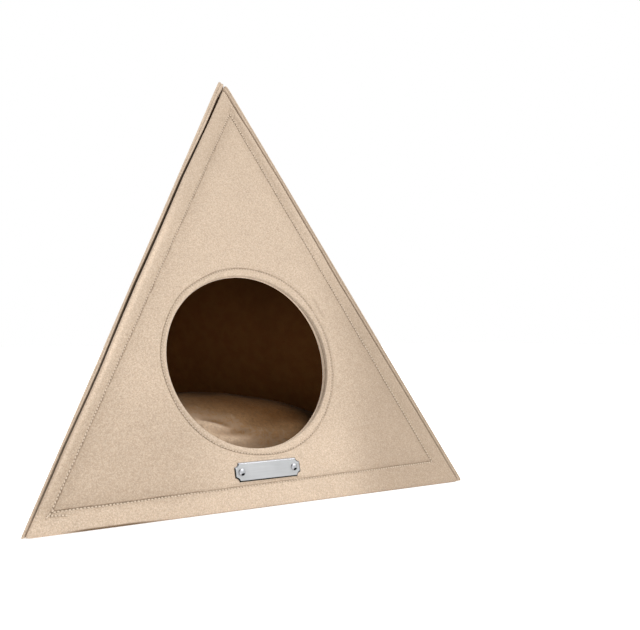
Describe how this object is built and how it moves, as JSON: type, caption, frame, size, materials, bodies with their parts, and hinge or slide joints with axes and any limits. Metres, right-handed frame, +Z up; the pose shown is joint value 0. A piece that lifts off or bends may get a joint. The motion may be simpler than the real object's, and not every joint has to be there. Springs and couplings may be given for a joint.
{
  "type": "pet house",
  "caption": "Three-sided cloth pyramid house for a small pet, with a round doorway, a filled cushion inside and a small bare metal plate.",
  "frame": {"origin": "middle of the underside of the box round the house", "axes": "+X to the right along the front wall, +Y from the front wall to the back edge, +Z up to the tip"},
  "size_m": [0.5278, 0.4572, 0.5062],
  "materials": {
    "cloth": "matt beige felted cloth",
    "lining": "matt dark brown cloth",
    "plush": "short beige pile",
    "plate": "bright, finely brushed",
    "rivet": "polished"
  },
  "bodies": {
    "root": {"front_panel": "cloth", "side_panel_left": "cloth", "side_panel_right": "cloth", "floor_panel": "cloth", "lining_left": "lining", "lining_right": "lining", "cushion": "plush", "name_plate": "plate", "rivet_left": "rivet", "rivet_right": "rivet"}
  },
  "joints": []
}
